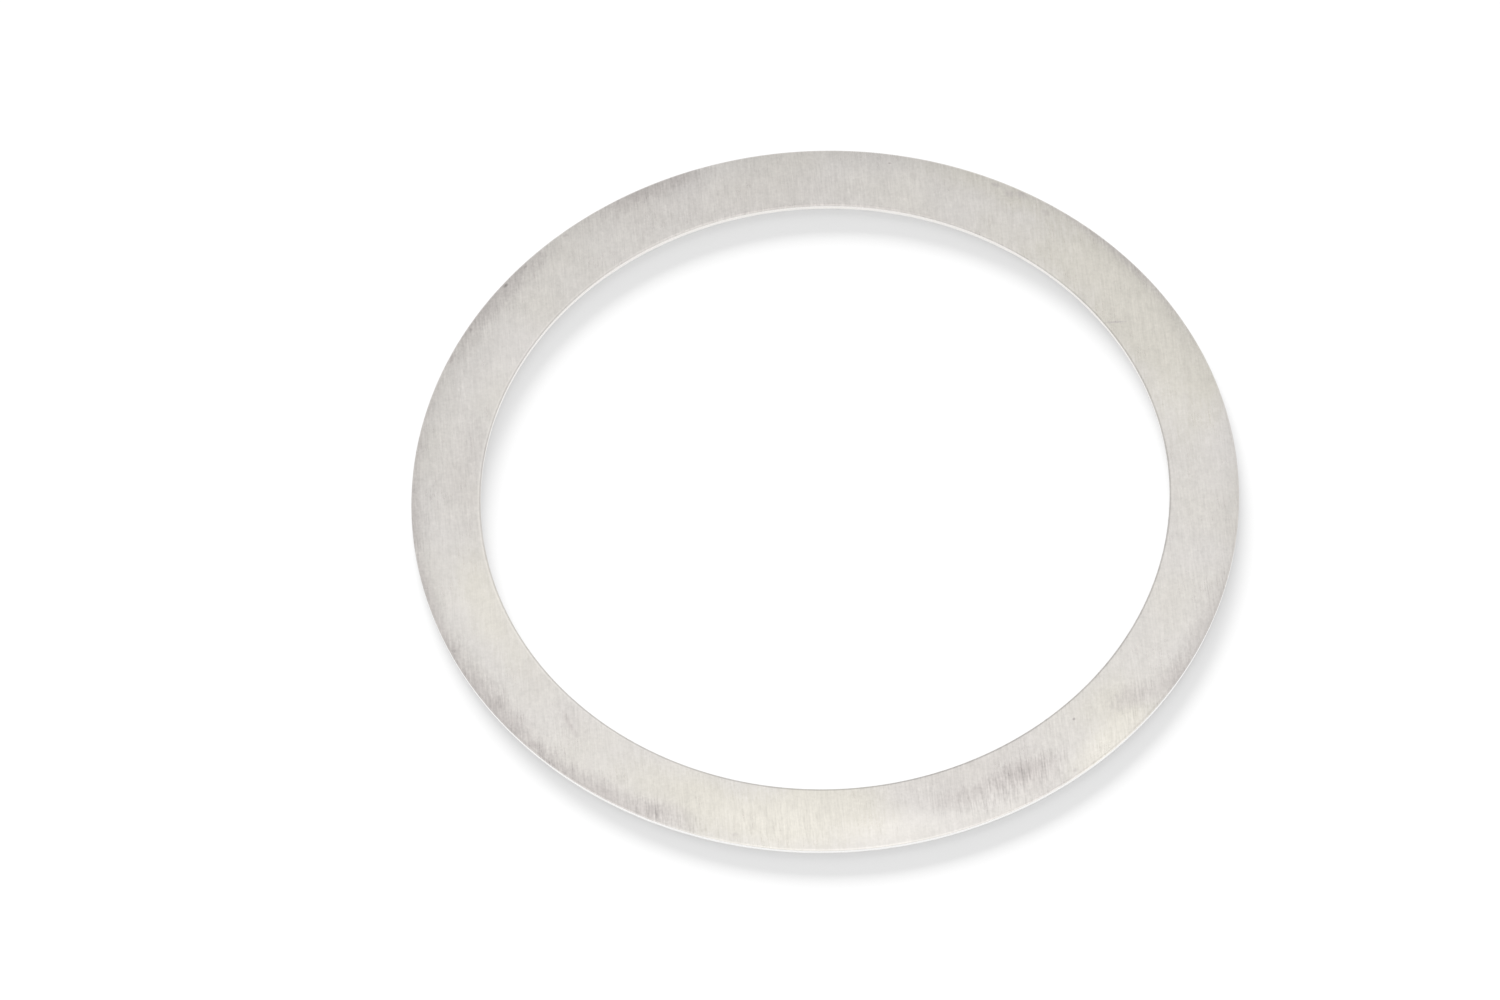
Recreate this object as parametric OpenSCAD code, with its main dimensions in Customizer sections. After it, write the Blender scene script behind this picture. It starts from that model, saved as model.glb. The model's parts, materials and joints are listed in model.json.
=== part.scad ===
// Differential shim: a flat steel ring that takes up the end play beside a carrier bearing.
// All lengths are in millimetres. The ring lies on its lower face at Z = 0, with its bore on the Z axis.

/* [Ring] */
// Outside diameter, a close fit in the bearing seat of the housing
outer_d = 77.7; // [50:0.1:120]
// Width of the flat ring, from the bore to the outside edge
ring_width = 6.5; // [3:0.1:14]
// Thickness of the sheet, the size that is chosen to set the gears
thickness = 0.6; // [0.3:0.01:1.6]

/* [Cut edges] */
// How far the die roll of each upper edge reaches into the upper face
roll_width = 0.2; // [0.05:0.01:0.4]
// How far the die roll of each upper edge drops below the upper face
roll_depth = 0.07; // [0.02:0.01:0.14]
// Height of the break, where the last of the sheet tears off below the straight wall
break_height = 0.15; // [0.02:0.01:0.15]
// How far the break leans into the section at the lower face
break_depth = 0.03; // [0.01:0.01:0.08]

/* [Hidden] */
// Diameter of the bore, which clears the journal that carries the bearing
bore_d = outer_d - 2 * ring_width;
// Radius of the die roll, which leaves the upper face smoothly and meets the wall at an angle
roll_r = (pow(roll_width, 2) + pow(roll_depth, 2)) / (2 * roll_depth);
// Height at which the straight walls, which the die burnishes, end and the die rolls begin
wall_top = thickness - roll_depth;
// Facets round the ring
ring_facets = 360;
// Facets round the full circle of a die roll
roll_facets = 96;
// Bare rolled steel
STEEL = [0.82, 0.81, 0.79];

// The upper corner of the section at the bore: what blanking leaves under the arc of the die roll
module rolled_corner() {
    intersection() {
        translate([0, wall_top])
            square([roll_width, roll_depth]);
        translate([roll_width, thickness - roll_r])
            circle(r = roll_r, $fn = roll_facets);
    }
}

// Section of the ring on the XY plane, with the lower face on X and the wall of the bore on Y
module ring_section() {
    // Straight walls, with the break below each
    polygon([
        [break_depth, 0],
        [ring_width - break_depth, 0],
        [ring_width, break_height],
        [ring_width, wall_top],
        [0, wall_top],
        [0, break_height],
    ]);
    // Flat upper face
    translate([roll_width, wall_top])
        square([ring_width - 2 * roll_width, roll_depth]);
    // Both upper edges
    rolled_corner();
    translate([ring_width, 0])
        mirror([1, 0])
            rolled_corner();
}

// The whole shim: its section, turned about the axis of the bore
module shim_ring() {
    color(STEEL)
        rotate_extrude($fn = ring_facets)
            translate([bore_d / 2, 0])
                ring_section();
}

shim_ring();
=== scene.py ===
"""Looks of the differential shim: one flat ring of rolled steel, lying on a white table."""

import json
import logging
import math
from abc import ABC, abstractmethod
from dataclasses import dataclass, field
from enum import Enum
from typing import Any, Sequence

import bpy
import numpy as np
from mathutils import Matrix, Vector

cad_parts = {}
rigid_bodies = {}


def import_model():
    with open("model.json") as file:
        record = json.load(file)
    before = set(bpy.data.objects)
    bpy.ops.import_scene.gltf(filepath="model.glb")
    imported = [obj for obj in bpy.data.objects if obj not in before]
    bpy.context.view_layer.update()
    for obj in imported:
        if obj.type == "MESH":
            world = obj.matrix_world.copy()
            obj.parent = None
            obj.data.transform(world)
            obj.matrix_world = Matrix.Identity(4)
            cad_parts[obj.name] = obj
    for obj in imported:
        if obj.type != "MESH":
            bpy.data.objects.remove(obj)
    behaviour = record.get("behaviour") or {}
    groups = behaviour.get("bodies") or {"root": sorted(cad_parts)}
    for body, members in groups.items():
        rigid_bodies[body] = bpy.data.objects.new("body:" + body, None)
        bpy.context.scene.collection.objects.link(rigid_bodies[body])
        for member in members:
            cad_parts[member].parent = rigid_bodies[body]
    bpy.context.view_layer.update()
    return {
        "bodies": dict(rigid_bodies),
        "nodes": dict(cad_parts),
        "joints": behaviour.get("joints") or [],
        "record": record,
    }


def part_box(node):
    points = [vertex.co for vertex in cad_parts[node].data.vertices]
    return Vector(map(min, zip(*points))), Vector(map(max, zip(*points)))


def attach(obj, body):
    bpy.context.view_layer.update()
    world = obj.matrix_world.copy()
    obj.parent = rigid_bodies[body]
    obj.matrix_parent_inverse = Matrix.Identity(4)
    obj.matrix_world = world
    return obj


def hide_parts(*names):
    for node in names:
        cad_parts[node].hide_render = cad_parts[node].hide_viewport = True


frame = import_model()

MM = 0.001
SHIM_NODE = "shim_ring"
CAMERA_RAY = "Is Camera Ray"
METAL_RAYS = ("Is Glossy Ray", "Is Transmission Ray")
GRAIN_DEG = 92.2
LOG = logging.getLogger("differential_shim")

Colour = tuple[float, float, float]


class Socket:
    """An output socket on which Python's operators add Math nodes."""

    def __init__(self, tree: "ShaderTree", link: bpy.types.NodeSocket | None) -> None:
        """Wraps one output.

        Args:
            tree: The tree that the output belongs to.
            link: The output itself, or None for a node without outputs.
        """
        self.tree = tree
        self.link = link

    def _math(self, operation: str, *values: Any) -> "Socket":
        """Adds a Math node.

        Args:
            operation: The node's operation.
            values: Its inputs in order, as sockets or numbers.

        Returns:
            The result.
        """
        return self.tree.node("ShaderNodeMath", {"operation": operation}, dict(enumerate(values)))

    def __add__(self, other: Any) -> "Socket":
        """Returns self + other."""
        return self._math("ADD", self, other)

    def __radd__(self, other: Any) -> "Socket":
        """Returns other + self."""
        return self._math("ADD", other, self)

    def __sub__(self, other: Any) -> "Socket":
        """Returns self - other."""
        return self._math("SUBTRACT", self, other)

    def __rsub__(self, other: Any) -> "Socket":
        """Returns other - self."""
        return self._math("SUBTRACT", other, self)

    def __mul__(self, other: Any) -> "Socket":
        """Returns self * other."""
        return self._math("MULTIPLY", self, other)

    def __rmul__(self, other: Any) -> "Socket":
        """Returns other * self."""
        return self._math("MULTIPLY", other, self)

    def __pow__(self, other: Any) -> "Socket":
        """Returns self ** other."""
        return self._math("POWER", self, other)

    def __rpow__(self, other: Any) -> "Socket":
        """Returns other ** self."""
        return self._math("POWER", other, self)

    def larger(self, other: Any) -> "Socket":
        """Returns the larger of self and other."""
        return self._math("MAXIMUM", self, other)

    def rise(self, low: float, high: float) -> "Socket":
        """Returns a smooth step: 0 up to low, 1 from high on.

        Args:
            low: Where the step starts.
            high: Where it ends.

        Returns:
            The step, or its mirror image where low is above high.
        """
        first, last = sorted((low, high))
        start, end = (0.0, 1.0) if low < high else (1.0, 0.0)
        settings = {"interpolation_type": "SMOOTHSTEP", "clamp": True}
        inputs = {"Value": self, "From Min": first, "From Max": last, "To Min": start, "To Max": end}
        return self.tree.node("ShaderNodeMapRange", settings, inputs)


class ShaderTree:
    """A node tree of a material or the world, emptied and ready to be filled."""

    def __init__(self, owner: bpy.types.Material | bpy.types.World) -> None:
        """Empties the owner's node tree.

        Args:
            owner: The material or the world.
        """
        owner.use_nodes = True
        self.nodes = owner.node_tree.nodes
        self.links = owner.node_tree.links
        self.nodes.clear()

    def node(
        self,
        kind: str,
        settings: dict[str, Any] | None = None,
        inputs: dict[int | str, Any] | None = None,
        output: int | str = 0,
    ) -> Socket:
        """Adds one node.

        Args:
            kind: The node's type.
            settings: Its properties, which are set before its sockets.
            inputs: Values or sockets, by the input's name or number.
            output: The name or number of the output that is wanted.

        Returns:
            That output.
        """
        node = self.nodes.new(kind)
        for name, value in (settings or {}).items():
            setattr(node, name, value)
        for name, value in (inputs or {}).items():
            if isinstance(value, Socket):
                self.links.new(value.link, node.inputs[name])
            else:
                node.inputs[name].default_value = value
        return Socket(self, node.outputs[output]) if node.outputs else Socket(self, None)

    def place(self) -> Socket:
        """Returns the shaded point in the ring's own frame, in millimetres."""
        point = self.node("ShaderNodeTexCoord", output="Object")
        return self.scaled(point, 1 / MM)

    def scaled(self, vector: Socket | Sequence[float], factor: Socket | float) -> Socket:
        """Returns a vector or colour times a number.

        Args:
            vector: The vector or colour.
            factor: The number.

        Returns:
            The scaled vector.
        """
        return self.node("ShaderNodeVectorMath", {"operation": "SCALE"}, {0: vector, "Scale": factor})

    def turned_back(self, vector: Socket, angle_deg: float) -> Socket:
        """Returns a point turned back about Z, so that X is the given direction."""
        inputs = {"Vector": vector, "Angle": -math.radians(angle_deg)}
        return self.node("ShaderNodeVectorRotate", {"rotation_type": "Z_AXIS"}, inputs)

    def stretched(self, vector: Socket, factors: Sequence[float]) -> Socket:
        """Returns a vector with its X, Y and Z each times their own factor."""
        inputs = {0: vector, 1: tuple(factors)}
        return self.node("ShaderNodeVectorMath", {"operation": "MULTIPLY"}, inputs)

    def length(self, vector: Socket) -> Socket:
        """Returns how long a vector is."""
        return self.node("ShaderNodeVectorMath", {"operation": "LENGTH"}, {0: vector}, "Value")

    def along(self, vector: Socket, direction: Sequence[float]) -> Socket:
        """Returns how far a vector reaches in a direction, times the direction's length."""
        inputs = {0: vector, 1: tuple(direction)}
        return self.node("ShaderNodeVectorMath", {"operation": "DOT_PRODUCT"}, inputs, "Value")

    def blend(self, first: Socket | Colour, second: Socket | Colour, factor: Socket) -> Socket:
        """Mixes two colours.

        Args:
            first: The colour at factor 0.
            second: The colour at factor 1.
            factor: How much of the second there is.

        Returns:
            The mixed colour.
        """
        start, end = (it if isinstance(it, Socket) else (*it, 1.0) for it in (first, second))
        inputs = {"Factor": factor, 6: start, 7: end}
        return self.node("ShaderNodeMix", {"data_type": "RGBA"}, inputs, 2)

    def bump(self, height: Socket, distance: float) -> Socket:
        """Returns the normal of a relief.

        Args:
            height: The relief's height, as a share of the distance.
            distance: How high a share of 1 is, in millimetres.

        Returns:
            The normal.
        """
        inputs = {"Strength": 1.0, "Distance": distance * MM, "Height": height}
        return self.node("ShaderNodeBump", {}, inputs)

    def rays(self, *kinds: str) -> Socket:
        """Returns 1 for light of any of the given kinds and 0 for all other light.

        Args:
            kinds: The kinds, by the names of the Light Path node's outputs.

        Returns:
            The share, 0 or 1.
        """
        first, *others = (self.node("ShaderNodeLightPath", output=kind) for kind in kinds)
        for other in others:
            first = first.larger(other)
        return first


@dataclass(frozen=True)
class Pattern:
    """A smooth random pattern in the metal, and the size of its features in millimetres.

    The size runs along, across and through the grain, and the grain's direction is measured from X.
    The detail is the number of finer layers, and the share is the weight of each. The offset moves the
    pattern, so that no two agree.
    """

    size: tuple[float, float, float]
    detail: float = 2.0
    share: float = 0.5
    offset: float = 0.0
    grain_deg: float = 0.0

    def noise(self, tree: ShaderTree, place: Socket) -> Socket:
        """Returns the pattern's value, from about -1 to 1.

        Args:
            tree: The material's tree.
            place: The shaded point in millimetres.

        Returns:
            The value.
        """
        turned = tree.turned_back(place, self.grain_deg) if self.grain_deg else place
        counted = tree.stretched(turned, [1 / size for size in self.size])
        shift = {0: counted, 1: (self.offset,) * 3}
        moved = tree.node("ShaderNodeVectorMath", {"operation": "ADD"}, shift)
        inputs = {"Vector": moved, "Scale": 1.0, "Detail": self.detail, "Roughness": self.share}
        return (tree.node("ShaderNodeTexNoise", {}, inputs) - 0.5) * 2


@dataclass(frozen=True)
class Mark:
    """A soft mark on the upper face that follows the ring: a smudge, a rubbed patch, a speck, or a band of
    painted highlight or painted shade along the bore's die roll.

    Its middle is given by its angle from X, and by how far it lies in from the outside edge. Its length
    runs round the ring and its width across, and it may lean from the ring's own line. Its tone is the
    change of lightness at its middle, its warmth that of its tint, and its grain that of the streaks in
    it. The rim and the core say where it starts and where it is full, as shares of its half length and
    half width. Lengths are in millimetres.
    """

    angle_deg: float
    inset: float
    length: float
    width: float
    tone: float = 0.0
    lean_deg: float = 0.0
    warmth: float = 0.0
    grain: float = 0.0
    rim: float = 1.3
    core: float = 0.2

    def mask(self, tree: ShaderTree, place: Socket, inward: Socket, ragged: Socket) -> Socket:
        """Returns 1 at the middle of the mark and 0 outside it.

        Args:
            tree: The material's tree.
            place: The shaded point in millimetres.
            inward: Its distance in from the outside edge.
            ragged: Noise that breaks up the mark's outline.

        Returns:
            The mask.
        """
        angle, lean = math.radians(self.angle_deg), math.radians(self.lean_deg)
        ahead = tree.along(place, (math.cos(angle), math.sin(angle), 0.0))
        around = tree.along(place, (-math.sin(angle), math.cos(angle), 0.0))
        across = self.inset - inward - around * math.tan(lean)
        reach = ((around * (2 / self.length)) ** 2 + (across * (2 / self.width)) ** 2) ** 0.5
        near_side = ahead.rise(0.0, 1.0)
        return (reach + ragged).rise(self.rim, self.core) * near_side


@dataclass(frozen=True)
class Finish(ABC):
    """What every finish of the ring states: its name, its colour and how rough it is."""

    name: str
    colour: Colour
    roughness: float

    def material(self) -> bpy.types.Material:
        """Makes the material of the finish.

        Returns:
            The material.
        """
        material = bpy.data.materials.new(self.name)
        tree = ShaderTree(material)
        sockets = self.sockets(tree, tree.place())
        steel = tree.node("ShaderNodeBsdfPrincipled", {}, {"Metallic": 1.0, **sockets})
        tree.node("ShaderNodeOutputMaterial", {}, {"Surface": steel})
        return material

    @abstractmethod
    def sockets(self, tree: ShaderTree, place: Socket) -> dict[str, Any]:
        """Returns what feeds the shader.

        Args:
            tree: The material's tree.
            place: The shaded point in millimetres.

        Returns:
            The values or links, by the name of the shader's socket.
        """


@dataclass(frozen=True)
class RolledFace(Finish):
    """The flat faces and the die rolls: cold-rolled sheet with straight grain, marks of handling, and
    painted highlight and painted shade on the die rolls.

    A tone is a change of lightness, as a share. The ragged numbers say how much each pattern breaks up
    the outlines of the marks, and the relief numbers how much of it stands up. The warm colour comes in
    with the warmth, and the darkened one with the darkness of a mark, times the darkening tint. The marks
    come in between two heights, given as shares of the thickness, so that the lower face has none. The
    edge width is how far in from the outside edge the face is painted darker, as painted shade that adds to
    the shading of its fall, and the relief is the height of a pattern's full strength, both in millimetres.
    The outer die roll is painted lighter, a painted highlight, and the bore's die roll darker, painted
    shade.
    """

    name: str = "rolled_face"
    colour: Colour = (0.567, 0.546, 0.526)
    warm_colour: Colour = (0.569, 0.546, 0.497)
    darkened_colour: Colour = (0.581, 0.546, 0.526)
    darkening_tint: float = 5.0
    roughness: float = 0.29
    roughness_spread: float = 0.03
    outer_r: float = field(kw_only=True)
    face_width: float = field(kw_only=True)
    thickness: float = field(kw_only=True)
    roll_width: float = field(kw_only=True)
    streaks: Pattern = Pattern((1.7, 0.15, 1.0), share=0.6, grain_deg=GRAIN_DEG)
    streak_tone: float = 0.14
    streak_ragged: float = 0.4
    long_streaks: Pattern = Pattern((6.0, 0.5, 1.0), detail=1.0, offset=7.3, grain_deg=GRAIN_DEG)
    long_streak_tone: float = 0.03
    long_streak_relief: float = 0.5
    pits: Pattern = Pattern((0.26, 0.26, 0.26), share=0.6, offset=3.1)
    pit_tone: float = 0.12
    pit_ragged: float = 0.15
    pit_relief: float = 0.6
    clouds: Pattern = Pattern((0.9, 0.9, 0.9), offset=17.7)
    cloud_tone: float = 0.07
    mottle: Pattern = Pattern((3.6, 3.6, 3.6), offset=11.9)
    mottle_tone: float = 0.05
    mottle_ragged: float = 0.25
    warm_patches: Pattern = Pattern((7.2, 7.2, 7.2), detail=1.0, offset=23.0)
    warmth: float = 0.2
    warmth_spread: float = 0.5
    relief: float = 0.0025
    edge_width: float = 2.85
    edge_shade: float = -0.03
    outer_roll_highlight: float = 0.13
    bore_roll_shade: float = -0.08
    marks_start: float = 1 / 6
    marks_full: float = 2 / 3
    marks: tuple[Mark, ...] = (
        Mark(114.0, -0.10, 15.0, 3.6, -0.16),
        Mark(142.5, -0.10, 16.0, 4.0, -0.17),
        Mark(172.0, -0.10, 28.0, 1.8, -0.09),
        Mark(181.0, -0.10, 9.0, 3.4, -0.06),
        Mark(196.0, -0.10, 16.0, 2.6, -0.13),
        Mark(215.0, -0.10, 18.0, 4.2, -0.17),
        Mark(236.0, -0.10, 17.0, 3.8, -0.17),
        Mark(297.6, 3.15, 8.6, 2.6, -0.11, lean_deg=7.0),
        Mark(299.3, 2.25, 8.4, 4.4, -0.10, grain=0.14),
        Mark(292.0, 2.05, 12.0, 2.8, grain=0.14),
        Mark(286.6, 3.05, 6.6, 2.4, -0.08, lean_deg=3.0),
        Mark(292.0, 2.85, 7.0, 2.8, -0.06),
        Mark(290.0, 5.45, 19.0, 5.4, -0.07),
        Mark(318.5, 2.45, 5.0, 3.0, -0.12, lean_deg=6.0, grain=0.12),
        Mark(323.5, 0.75, 8.0, 2.8, -0.10, lean_deg=6.0),
        Mark(311.5, 0.55, 11.5, 4.4, 0.11, warmth=0.7, grain=0.10),
        Mark(316.0, 3.65, 8.0, 6.0, warmth=0.6),
        Mark(277.0, 1.55, 12.0, 4.4, 0.08),
        Mark(262.0, 2.65, 20.0, 6.4, 0.065, warmth=0.9, grain=0.12),
        Mark(333.0, -0.05, 14.0, 3.4, -0.10),
        Mark(40.0, -0.10, 20.0, 1.8, -0.14),
        Mark(200.0, 5.05, 15.0, 5.0, 0.06, warmth=0.7),
        Mark(196.0, 2.45, 12.0, 4.6, 0.05),
        Mark(245.5, 1.45, 6.0, 2.6, -0.09, grain=0.10),
        Mark(150.0, 5.65, 13.0, 5.0, 0.05),
        Mark(174.0, 5.25, 12.0, 6.0, -0.05),
        Mark(14.0, 4.85, 10.0, 5.0, 0.05),
        Mark(8.0, 0.95, 15.0, 4.0, 0.06),
        Mark(96.0, 4.85, 18.0, 6.5, -0.04),
        Mark(113.0, 2.45, 14.0, 5.0, -0.04),
        Mark(224.0, 4.85, 5.0, 3.4, -0.055),
        Mark(31.0, 3.05, 30.0, 11.0, warmth=0.9),
        Mark(60.0, 0.45, 18.0, 4.0, warmth=0.7),
        Mark(267.0, 5.25, 12.0, 5.0, warmth=0.7),
        Mark(245.0, 3.45, 14.0, 7.0, warmth=0.7),
        Mark(16.0, 0.65, 9.0, 4.0, warmth=0.6),
        # A band of painted highlight along the bore's die roll.
        Mark(195.0, 6.40, 60.0, 0.5, 0.16),
        # A band of painted shade along the bore's die roll.
        Mark(82.0, 6.40, 34.0, 0.5, -0.09),
    )
    specks: tuple[Mark, ...] = (
        Mark(309.9, 4.79, 0.34, 0.28, -0.40),
        Mark(77.9, 1.10, 0.34, 0.24, -0.35),
        Mark(139.6, 0.35, 0.60, 0.40, -0.30),
        Mark(135.3, 0.40, 0.70, 0.30, -0.18),
        Mark(127.7, 0.45, 0.70, 0.40, -0.14),
        Mark(148.6, 0.45, 0.80, 0.40, -0.16),
        Mark(154.0, 0.30, 1.40, 0.50, -0.14),
        Mark(58.0, 0.45, 1.40, 0.90, -0.15),
        Mark(59.6, 0.90, 1.30, 0.90, -0.13),
        Mark(62.0, 0.55, 1.00, 0.60, -0.12),
        Mark(53.3, 1.05, 1.20, 0.60, -0.10),
        Mark(31.4, 5.45, 1.10, 0.44, -0.16, lean_deg=-58.6),
        Mark(214.5, 1.25, 2.60, 1.80, -0.05, grain=0.10),
        Mark(222.8, 0.55, 1.10, 0.80, -0.12),
        Mark(224.2, 4.40, 3.00, 0.60, -0.12, lean_deg=19.5),
        Mark(229.7, 0.85, 1.30, 0.90, -0.06),
        Mark(235.1, 0.75, 1.60, 1.00, -0.06),
        Mark(242.5, 0.95, 3.20, 2.20, -0.05, grain=0.12),
        Mark(254.9, 0.88, 0.80, 0.50, -0.12),
        Mark(304.4, 0.57, 0.60, 0.44, -0.16),
    )

    def sockets(self, tree: ShaderTree, place: Socket) -> dict[str, Any]:
        """Returns the rolled sheet's colour, roughness and relief.

        Args:
            tree: The material's tree.
            place: The shaded point in millimetres.

        Returns:
            The values or links, by the name of the shader's socket.
        """
        streaks = self.streaks.noise(tree, place)
        long_streaks = self.long_streaks.noise(tree, place)
        pits = self.pits.noise(tree, place)
        clouds = self.clouds.noise(tree, place)
        mottle = self.mottle.noise(tree, place)
        tone = 1 + streaks * self.streak_tone + long_streaks * self.long_streak_tone
        tone = tone + pits * self.pit_tone + clouds * self.cloud_tone + mottle * self.mottle_tone
        inward = self.outer_r - tree.length(tree.stretched(place, (1.0, 1.0, 0.0)))
        # Adds the painted shade of the outer band and the painted highlight and shade of the die rolls.
        tone = tone + self.edges(inward)
        warmth = self.warm_patches.noise(tree, place) * self.warmth_spread + self.warmth
        ragged = mottle * self.mottle_ragged + streaks * self.streak_ragged + pits * self.pit_ragged
        height = tree.along(place, (0.0, 0.0, 1 / self.thickness))
        upper = height.rise(self.marks_start, self.marks_full)
        # The darkness of the marks: smudges and specks, and the painted shade along the bore's die roll.
        mark_darkness = 0.0
        for mark in (*self.marks, *self.specks):
            mask = mark.mask(tree, place, inward, ragged) * upper
            if mark.tone:
                tone = tone + mask * mark.tone
                mark_darkness = mark_darkness - mask * mark.tone
            if mark.warmth:
                warmth = warmth + mask * mark.warmth
            if mark.grain:
                tone = tone + mask * mark.grain * streaks
        # The marks tint the colour: smudges and specks, and the painted highlight and shade of the bore's
        # die roll.
        clean = tree.blend(self.colour, self.warm_colour, warmth)
        marked_colour = tree.blend(clean, self.darkened_colour, mark_darkness * self.darkening_tint)
        relief = streaks + long_streaks * self.long_streak_relief + pits * self.pit_relief
        return {
            "Base Color": tree.scaled(marked_colour, tone),
            "Roughness": self.roughness + (mottle + streaks) * self.roughness_spread,
            "Normal": tree.bump(relief, self.relief),
        }

    def edges(self, inward: Socket) -> Socket:
        """Returns painted light: painted shade towards the outside edge, adding to the shading of the
        face's fall, a painted highlight on the outer die roll and painted shade on the bore's die roll.

        Args:
            inward: The distance in from the outside edge, in millimetres.

        Returns:
            The change.
        """
        # Painted shade towards the outside edge.
        outward = inward.rise(self.edge_width, 0.0)
        half_roll = self.roll_width / 2
        outer_roll = inward.rise(self.roll_width, half_roll)
        bore_roll = inward.rise(self.face_width - self.roll_width, self.face_width - half_roll)
        # Painted highlight on the outer die roll, painted shade on the bore's die roll.
        rolls = outer_roll * self.outer_roll_highlight + bore_roll * self.bore_roll_shade
        return outward * self.edge_shade + rolls


@dataclass(frozen=True)
class BurnishedLand(Finish):
    """The straight part of the outside wall, which the die rubs bright along Z."""

    name: str = "burnished_land"
    colour: Colour = (0.965, 0.96, 0.95)
    roughness: float = 0.24
    rub: Pattern = Pattern((0.05, 0.05, 0.9), share=0.6)
    rub_tone: float = 0.04
    rub_roughness: float = 0.05
    patches: Pattern = Pattern((2.5, 2.5, 2.5), offset=5.0)
    patch_tone: float = 0.03
    patch_roughness: float = 0.04

    def sockets(self, tree: ShaderTree, place: Socket) -> dict[str, Any]:
        """Returns the burnished wall's colour and roughness.

        Args:
            tree: The material's tree.
            place: The shaded point in millimetres.

        Returns:
            The values or links, by the name of the shader's socket.
        """
        lines = self.rub.noise(tree, place)
        patches = self.patches.noise(tree, place)
        tone = 1 + lines * self.rub_tone + patches * self.patch_tone
        return {
            "Base Color": tree.scaled(self.colour, tone),
            "Roughness": self.roughness + lines * self.rub_roughness + patches * self.patch_roughness,
        }


@dataclass(frozen=True)
class ShadedBurnishedBore(BurnishedLand):
    """The straight part of the bore's wall, rubbed in the same way but a little warmer, and darker as
    painted shade, which stands for the shaded table that the bore's wall mirrors.
    """

    name: str = "burnished_bore"
    # Darker than the outside wall: painted shade for the shaded table that the bore's wall mirrors.
    colour: Colour = (0.885, 0.862, 0.835)


@dataclass(frozen=True)
class TornBreak(Finish):
    """The lower part of the cut walls, where the sheet tore off: dull and grainy."""

    name: str = "torn_break"
    colour: Colour = (0.84, 0.83, 0.815)
    roughness: float = 0.58
    tears: Pattern = Pattern((0.07, 0.07, 0.07), detail=3.0, share=0.6)
    tear_tone: float = 0.25
    patches: Pattern = Pattern((1.7, 1.7, 1.7), detail=1.0, offset=9.0)
    patch_tone: float = 0.15
    relief: float = 0.01

    def sockets(self, tree: ShaderTree, place: Socket) -> dict[str, Any]:
        """Returns the torn wall's colour, roughness and relief.

        Args:
            tree: The material's tree.
            place: The shaded point in millimetres.

        Returns:
            The values or links, by the name of the shader's socket.
        """
        tears = self.tears.noise(tree, place)
        patches = self.patches.noise(tree, place)
        tone = 1 + tears * self.tear_tone + patches * self.patch_tone
        return {
            "Base Color": tree.scaled(self.colour, tone),
            "Roughness": self.roughness,
            "Normal": tree.bump(tears, self.relief),
        }


class Zone(Enum):
    """The zones of the ring's surface, by the number of their material slot."""

    FACE = 0
    LAND = 1
    BREAK = 2
    BORE_LAND = 3


@dataclass(frozen=True)
class Station:
    """One point of the ring's section, in millimetres, and the zone of the surface that follows it.

    A sharp station is a hard edge that runs round the ring.
    """

    radius: float
    height: float
    zone: Zone
    sharp: bool = False

    def point(self, angle: float) -> tuple[float, float, float]:
        """Returns the station's place in metres, at an angle round the ring in radians."""
        reach = self.radius * MM
        return reach * math.cos(angle), reach * math.sin(angle), self.height * MM


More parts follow.
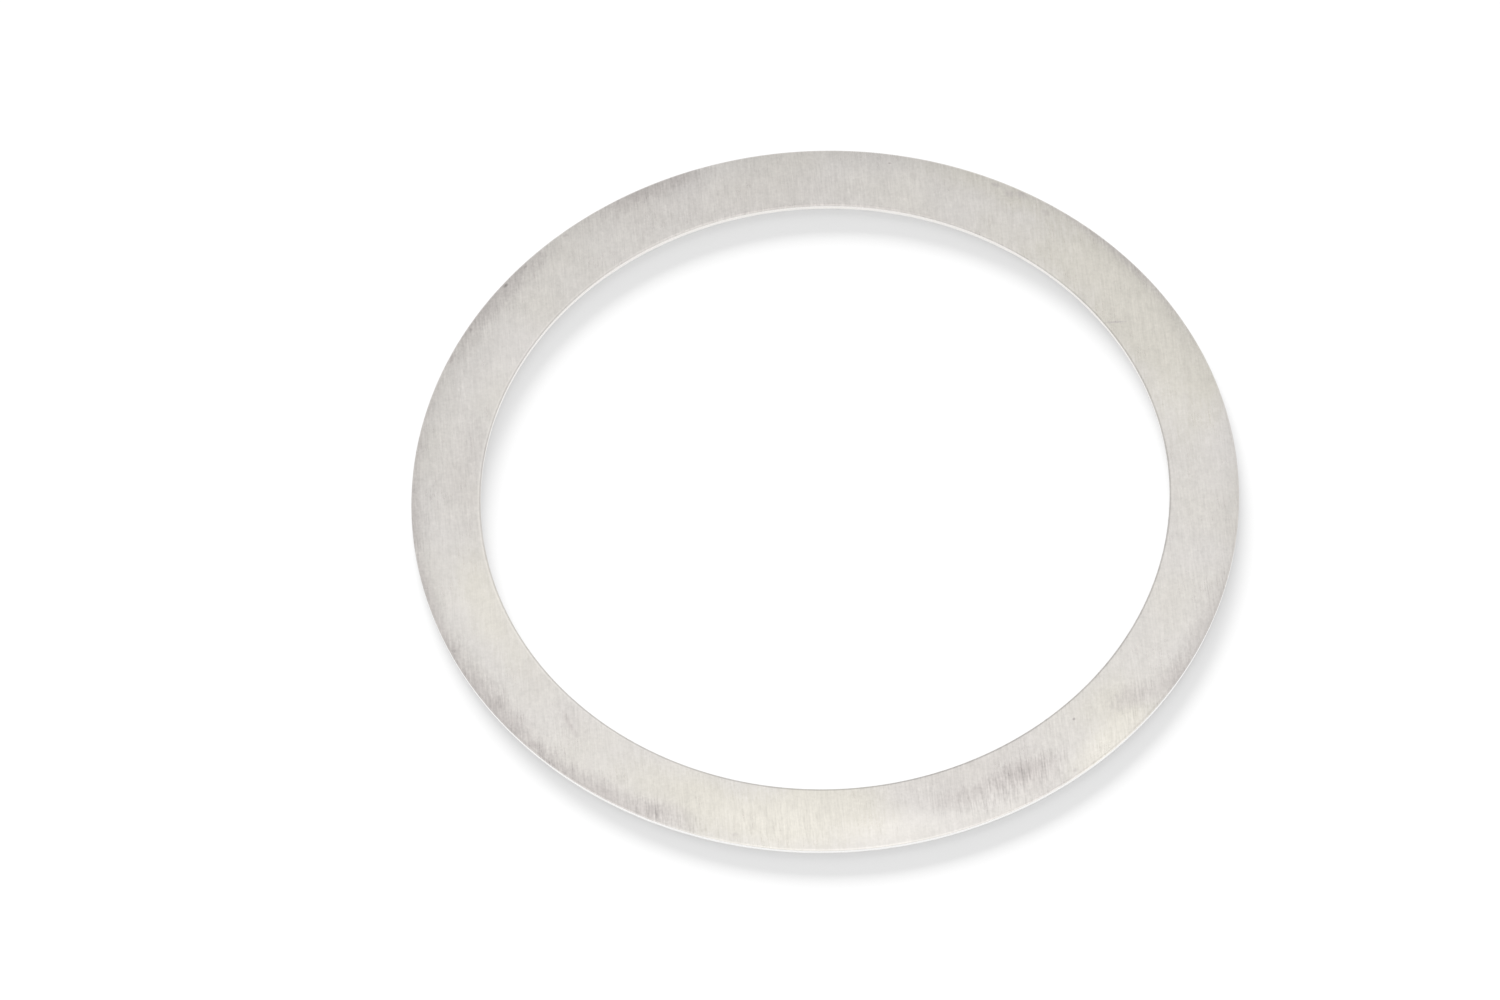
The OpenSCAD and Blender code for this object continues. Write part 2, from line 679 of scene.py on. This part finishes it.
@dataclass
class ShimRing:
    """The ring itself: the section that blanking leaves, turned about Z with its small irregularities.

    All sizes are in millimetres. The fall is how far the upper face drops over the fall width, up to the
    outside edge, and its power says how late. The wander is how far the break's upper limit strays, and
    the tear how unevenly the break leans, both as shares. The wave turns say how often each wave of that
    unevenness goes round the ring, and the wall shift tells the two walls' waves apart. The support is
    the distance from each die roll to the row of points that keeps the face beside it flat. The columns
    are the sections round the ring, and the steps the spans of each zone in one of them.
    """

    outer_r: float
    bore_r: float
    thickness: float
    break_height: float
    roll_depth: float
    roll_width: float = 0.20
    break_depth: float = 0.03
    break_wander: float = 0.22
    break_tear: float = 0.25
    fall: float = 0.08
    fall_width: float = 3.7
    fall_power: float = 2.7
    columns: int = 1200
    roll_steps: int = 7
    land_steps: int = 3
    break_steps: int = 4
    face_steps: int = 12
    support: float = 0.04
    wave_turns: tuple[int, ...] = (5, 9, 17, 31, 58, 97, 163, 251)
    wall_shift: float = 0.37
    seed: int = 7
    waves: list[tuple[int, float, float]] = field(default_factory=list)

    @classmethod
    def from_frame(cls, packed: dict[str, Any]) -> "ShimRing":
        """Takes the ring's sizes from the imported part.


        Returns:
            The ring, with the part's own radii and heights in millimetres.
        """
        mounts = {mount["name"]: mount for mount in packed["record"]["mounts"]}
        outer, bore = mounts["outside_edge"], mounts["bore"]
        middle = outer["pos_m"][2] / MM
        half = outer["dims"]["length_mm"] / 2
        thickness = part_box(SHIM_NODE)[1].z / MM
        return cls(
            outer_r=outer["dims"]["r_mm"],
            bore_r=bore["dims"]["r_mm"],
            thickness=thickness,
            break_height=middle - half,
            roll_depth=thickness - middle - half,
        )

    def __post_init__(self) -> None:
        """Draws the waves that make the cut walls a little uneven."""
        dice = np.random.default_rng(self.seed)
        count = len(self.wave_turns)
        phases = dice.uniform(0.0, math.tau, count)
        weights = 1 / np.sqrt(np.arange(1, count + 1))
        weights /= weights.sum()
        self.waves = list(zip(self.wave_turns, phases.tolist(), weights.tolist()))

    def unevenness(self, angle: float, shift: float = 0.0) -> float:
        """Returns a smooth value from -1 to 1 that runs round the ring.

        Args:
            angle: Where on the ring, in radians.
            shift: A number that gives each use its own pattern.

        Returns:
            The value.
        """
        return sum(
            weight * math.sin(turns * angle + phase * (1 + shift))
            for turns, phase, weight in self.waves
        )

    def upper_height(self, radius: float) -> float:
        """Returns the height of the upper face without its die rolls: flat, with a slight fall outwards."""
        past = max(0.0, radius - (self.outer_r - self.fall_width)) / self.fall_width
        return self.thickness - self.fall * past**self.fall_power

    def roll_drop(self, inset: float) -> float:
        """Returns how far the die roll lies below the upper face, at a distance in from the wall."""
        roll_r = (self.roll_width**2 + self.roll_depth**2) / (2 * self.roll_depth)
        return roll_r - math.sqrt(roll_r**2 - (self.roll_width - inset) ** 2)

    def wall(self, angle: float, radius: float, inward: int) -> list[Station]:
        """Returns the stations of one cut wall, from the lower face to the upper face.

        Args:
            angle: Where on the ring, in radians.
            radius: The wall's radius.
            inward: 1 where the metal lies outside the wall, as at the bore, and -1 at the outside edge.

        Returns:
            The stations, from the bottom up.
        """
        shift = inward * self.wall_shift
        land = Zone.BORE_LAND if inward > 0 else Zone.LAND
        tear_top = self.break_height * (1 + self.break_wander * self.unevenness(angle, shift))
        stations = []
        for step in range(self.break_steps):
            share = step / self.break_steps
            torn = self.break_tear * self.unevenness(angle + step, shift + step) if step else 0.0
            inset = self.break_depth * (1 - share) * (1 + torn)
            place = radius + inward * inset
            stations.append(Station(place, tear_top * share, Zone.BREAK, sharp=step == 0))
        top = self.upper_height(radius) - self.roll_depth
        for step in range(self.land_steps):
            share = step / self.land_steps
            height = tear_top + (top - tear_top) * share
            stations.append(Station(radius, height, land, sharp=step == 0))
        for step in range(self.roll_steps + 1):
            inset = self.roll_width * step / self.roll_steps
            place = radius + inward * inset
            height = self.upper_height(place) - self.roll_drop(inset)
            stations.append(Station(place, height, Zone.FACE, sharp=step == 0))
        return stations

    def section(self, angle: float) -> list[Station]:
        """Returns the whole section at one place on the ring.

        Args:
            angle: Where on the ring, in radians.

        Returns:
            The stations, as a closed loop that starts at the foot of the bore's wall.
        """
        bore = self.wall(angle, self.bore_r, 1)
        outside = self.wall(angle, self.outer_r, -1)[::-1]
        first = bore[-1].radius + self.support
        last = outside[0].radius - self.support
        upper = []
        for step in range(self.face_steps + 1):
            radius = first + (last - first) * step / self.face_steps
            upper.append(Station(radius, self.upper_height(radius), Zone.FACE))
        lower = [
            Station(outside[-1].radius - self.support, 0.0, Zone.FACE),
            Station((self.outer_r + self.bore_r) / 2, 0.0, Zone.FACE),
            Station(bore[0].radius + self.support, 0.0, Zone.FACE),
        ]
        return bore + upper + self._descending(outside) + lower

    @staticmethod
    def _descending(stations: Sequence[Station]) -> list[Station]:
        """Gives each station of a wall that is walked downwards the zone of the surface below it.

        Args:
            stations: The stations from the top down, with the zones they have from the bottom up.

        Returns:
            The stations, with their new zones.
        """
        zones = [station.zone for station in stations[1:]] + [Zone.FACE]
        return [
            Station(station.radius, station.height, zone, station.sharp)
            for station, zone in zip(stations, zones)
        ]

    def mesh(self) -> bpy.types.Mesh:
        """Makes one closed skin of quads, smooth apart from the edges of the cut walls.

        Returns:
            The mesh.
        """
        angles = [math.tau * column / self.columns for column in range(self.columns)]
        sections = [self.section(angle) for angle in angles]
        count = len(sections[0])
        points = [
            station.point(angle)
            for angle, stations in zip(angles, sections)
            for station in stations
        ]
        faces = []
        zones = []
        for column in range(self.columns):
            here, there = column * count, (column + 1) % self.columns * count
            for index in range(count):
                above = (index + 1) % count
                faces.append((here + index, here + above, there + above, there + index))
                zones.append(sections[0][index].zone.value)
        mesh = bpy.data.meshes.new("shim_ring_sheet")
        mesh.from_pydata(points, [], faces)
        mesh.polygons.foreach_set("material_index", zones)
        mesh.shade_smooth()
        self._mark_sharp(mesh, sections[0])
        mesh.validate()
        return mesh

    @staticmethod
    def _mark_sharp(mesh: bpy.types.Mesh, stations: Sequence[Station]) -> None:
        """Marks the edges that run round the ring at the sharp stations.

        Args:
            mesh: The ring's mesh, with its points in order of column and station.
            stations: The stations of one column.
        """
        ends = np.zeros(len(mesh.edges) * 2, dtype=np.int64)
        mesh.edges.foreach_get("vertices", ends)
        first, second = (ends.reshape(-1, 2) % len(stations)).T
        sharp = np.array([station.sharp for station in stations])
        flags = (first == second) & sharp[first]
        attribute = mesh.attributes.new("sharp_edge", "BOOLEAN", "EDGE")
        attribute.data.foreach_set("value", flags)

    def finishes(self) -> tuple[Finish, ...]:
        """Fits the finishes to the ring's own sizes.

        Returns:
            The finishes, in the order of the zones.
        """
        rolled = RolledFace(
            outer_r=self.outer_r,
            face_width=self.outer_r - self.bore_r,
            thickness=self.thickness,
            roll_width=self.roll_width,
        )
        return rolled, BurnishedLand(), TornBreak(), ShadedBurnishedBore()

    def build(self) -> bpy.types.Object:
        """Makes the ring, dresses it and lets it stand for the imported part.

        Returns:
            The ring's object.
        """
        ring = bpy.data.objects.new("shim_ring_sheet", self.mesh())
        bpy.context.scene.collection.objects.link(ring)
        for finish in self.finishes():
            ring.data.materials.append(finish.material())
        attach(ring, "root")
        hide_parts(SHIM_NODE)
        return ring


@dataclass(frozen=True)
class WhiteTable:
    """The pale table top that the ring lies on, a hair below it.

    The width and the drop are in metres. The glow is the light that the camera sees of the table itself,
    so that a shadow on it stays pale.
    """

    width: float = 4.0
    drop: float = 0.02 * MM
    albedo: float = 0.40
    glow: float = 0.30

    def build(self) -> bpy.types.Object:
        """Makes the table top, a plane just under the ring.

        Returns:
            The table's object.
        """
        half = self.width / 2
        corners = [(-half, -half), (half, -half), (half, half), (-half, half)]
        mesh = bpy.data.meshes.new("table_top")
        mesh.from_pydata([(x, y, -self.drop) for x, y in corners], [], [(0, 1, 2, 3)])
        table = bpy.data.objects.new("table_top", mesh)
        bpy.context.scene.collection.objects.link(table)
        mesh.materials.append(self.material())
        return table

    def material(self) -> bpy.types.Material:
        """Makes matt white, which shows the camera the ring's shadow and is plain white in the metal.

        Returns:
            The material.
        """
        material = bpy.data.materials.new("table_white")
        tree = ShaderTree(material)
        matt = tree.node("ShaderNodeBsdfDiffuse", {}, {"Color": (self.albedo,) * 3 + (1.0,)})
        glow = tree.node("ShaderNodeEmission", {}, {"Strength": tree.rays(CAMERA_RAY) * self.glow})
        shaded = tree.node("ShaderNodeAddShader", {}, {0: matt, 1: glow})
        white = tree.node("ShaderNodeEmission", {}, {"Strength": 1.0})
        choice = {"Fac": tree.rays(*METAL_RAYS), 1: shaded, 2: white}
        seen = tree.node("ShaderNodeMixShader", {}, choice)
        tree.node("ShaderNodeOutputMaterial", {}, {"Surface": seen})
        return material


@dataclass(frozen=True)
class Softbox:
    """A soft lamp with a rectangular front that faces straight down. Its place and size are in metres."""

    name: str
    place: tuple[float, float, float]
    width: float
    length: float
    level: float

    def build(self) -> bpy.types.Object:
        """Makes the lamp, whose front is as bright as its level says, where 1 is white.

        Returns:
            The lamp's object.
        """
        data = bpy.data.lights.new(self.name, "AREA")
        data.shape = "RECTANGLE"
        data.size = self.width
        data.size_y = self.length
        data.energy = self.level * math.pi * self.width * self.length
        lamp = bpy.data.objects.new(self.name, data)
        bpy.context.scene.collection.objects.link(lamp)
        lamp.location = self.place
        lamp.visible_camera = False
        return lamp


@dataclass(frozen=True)
class Window:
    """A window far off, which gives the table a soft shadow and leaves no glint on the metal.

    Its width and height are the angles it fills, seen from the ring, and its distance is in metres.
    """

    name: str
    azimuth_deg: float
    elevation_deg: float
    width_deg: float
    height_deg: float
    level: float
    distance: float = 60.0

    def build(self) -> bpy.types.Object:
        """Makes the lamp, which lights a white table to about its level, where 1 is white.

        Returns:
            The lamp's object.
        """
        azimuth, elevation = math.radians(self.azimuth_deg), math.radians(self.elevation_deg)
        data = bpy.data.lights.new(self.name, "AREA")
        data.shape = "ELLIPSE"
        data.size = 2 * self.distance * math.tan(math.radians(self.width_deg / 2))
        data.size_y = 2 * self.distance * math.tan(math.radians(self.height_deg / 2))
        data.energy = self.level * (math.pi * self.distance) ** 2 / math.sin(elevation)
        lamp = bpy.data.objects.new(self.name, data)
        bpy.context.scene.collection.objects.link(lamp)
        flat = math.cos(elevation)
        back = Vector((flat * math.cos(azimuth), flat * math.sin(azimuth), math.sin(elevation)))
        lamp.location = back * self.distance
        lamp.rotation_euler = back.to_track_quat("Z", "Y").to_euler()
        lamp.visible_camera = False
        lamp.visible_glossy = False
        return lamp


@dataclass(frozen=True)
class Studio:
    """Plain soft light: white walls all round, and the lamps that give the ring its sheen and shadow."""

    wall_level: float = 0.86
    lamps: tuple[Softbox | Window, ...] = (
        Softbox("top_light", (0.016, 0.152, 0.700), width=0.26, length=0.56, level=0.68),
        Softbox("front_light", (0.0, -0.370, 0.700), width=2.00, length=0.45, level=0.60),
        Window(
            "low_window",
            azimuth_deg=103.0,
            elevation_deg=9.2,
            width_deg=44.0,
            height_deg=7.0,
            level=0.74,
        ),
        Window(
            "high_window",
            azimuth_deg=103.0,
            elevation_deg=30.0,
            width_deg=66.0,
            height_deg=36.0,
            level=0.22,
        ),
    )

    def build(self) -> None:
        """Makes the world and the lamps."""
        world = bpy.data.worlds.new("white_room")
        bpy.context.scene.world = world
        tree = ShaderTree(world)
        level = self.wall_level + tree.rays(CAMERA_RAY, *METAL_RAYS) * (1 - self.wall_level)
        light = {"Color": (1.0, 1.0, 1.0, 1.0), "Strength": level}
        background = tree.node("ShaderNodeBackground", {}, light)
        tree.node("ShaderNodeOutputWorld", {}, {"Surface": background})
        for lamp in self.lamps:
            lamp.build()


@dataclass(frozen=True)
class Viewpoint:
    """Where the photograph was taken from, with its pixels counted in a frame of 1500 by 1000.

    The centre is where the middle of the ring's upper face is seen, and the depth is how far that point
    lies ahead of the camera, in metres. The sensor's width is in millimetres.
    """

    frame_px: tuple[float, float] = (1500.0, 1000.0)
    focal_px: float = 8690.0
    centre_px: tuple[float, float] = (824.7, 491.2)
    depth: float = 0.8159
    elevation_deg: float = 57.8
    roll_deg: float = 2.76
    sensor: float = 36.0
    clip_start: float = 0.01

    def build(self, middle: Vector) -> bpy.types.Object:
        """Makes the scene's camera.

        Args:
            middle: The middle of the ring's upper face, in metres.

        Returns:
            The camera.
        """
        elevation, roll = math.radians(self.elevation_deg), math.radians(self.roll_deg)
        ahead = Vector((0.0, math.cos(elevation), -math.sin(elevation)))
        level_up = Vector((0.0, math.sin(elevation), math.cos(elevation)))
        level_right = Vector((1.0, 0.0, 0.0))
        right = level_right * math.cos(roll) - level_up * math.sin(roll)
        up = level_right * math.sin(roll) + level_up * math.cos(roll)
        aside = (self.centre_px[0] - self.frame_px[0] / 2) / self.focal_px * self.depth
        above = (self.frame_px[1] / 2 - self.centre_px[1]) / self.focal_px * self.depth
        data = bpy.data.cameras.new("photo_camera")
        data.sensor_width = self.sensor
        data.lens = self.focal_px / self.frame_px[0] * self.sensor
        data.clip_start = self.clip_start
        camera = bpy.data.objects.new("photo_camera", data)
        bpy.context.scene.collection.objects.link(camera)
        turn = Matrix((right, up, -ahead)).transposed().to_4x4()
        place = middle - ahead * self.depth - right * aside - up * above
        camera.matrix_world = Matrix.Translation(place) @ turn
        bpy.context.scene.camera = camera
        return camera


def main() -> None:
    """Builds the ring, the table, the light and the camera, and reports the ring and the table."""
    logging.basicConfig(level=logging.INFO, format="%(name)s: %(message)s")
    shim = ShimRing.from_frame(frame)
    Viewpoint().build(Vector((0.0, 0.0, shim.thickness * MM)))
    ring = shim.build()
    LOG.info("%s: %d faces, %.2f mm thick", ring.name, len(ring.data.polygons), shim.thickness)
    table = WhiteTable().build()
    LOG.info("%s: the stage", table.name)
    Studio().build()
    bpy.context.scene.view_settings.view_transform = "Standard"


if __name__ == "__main__":
    main()
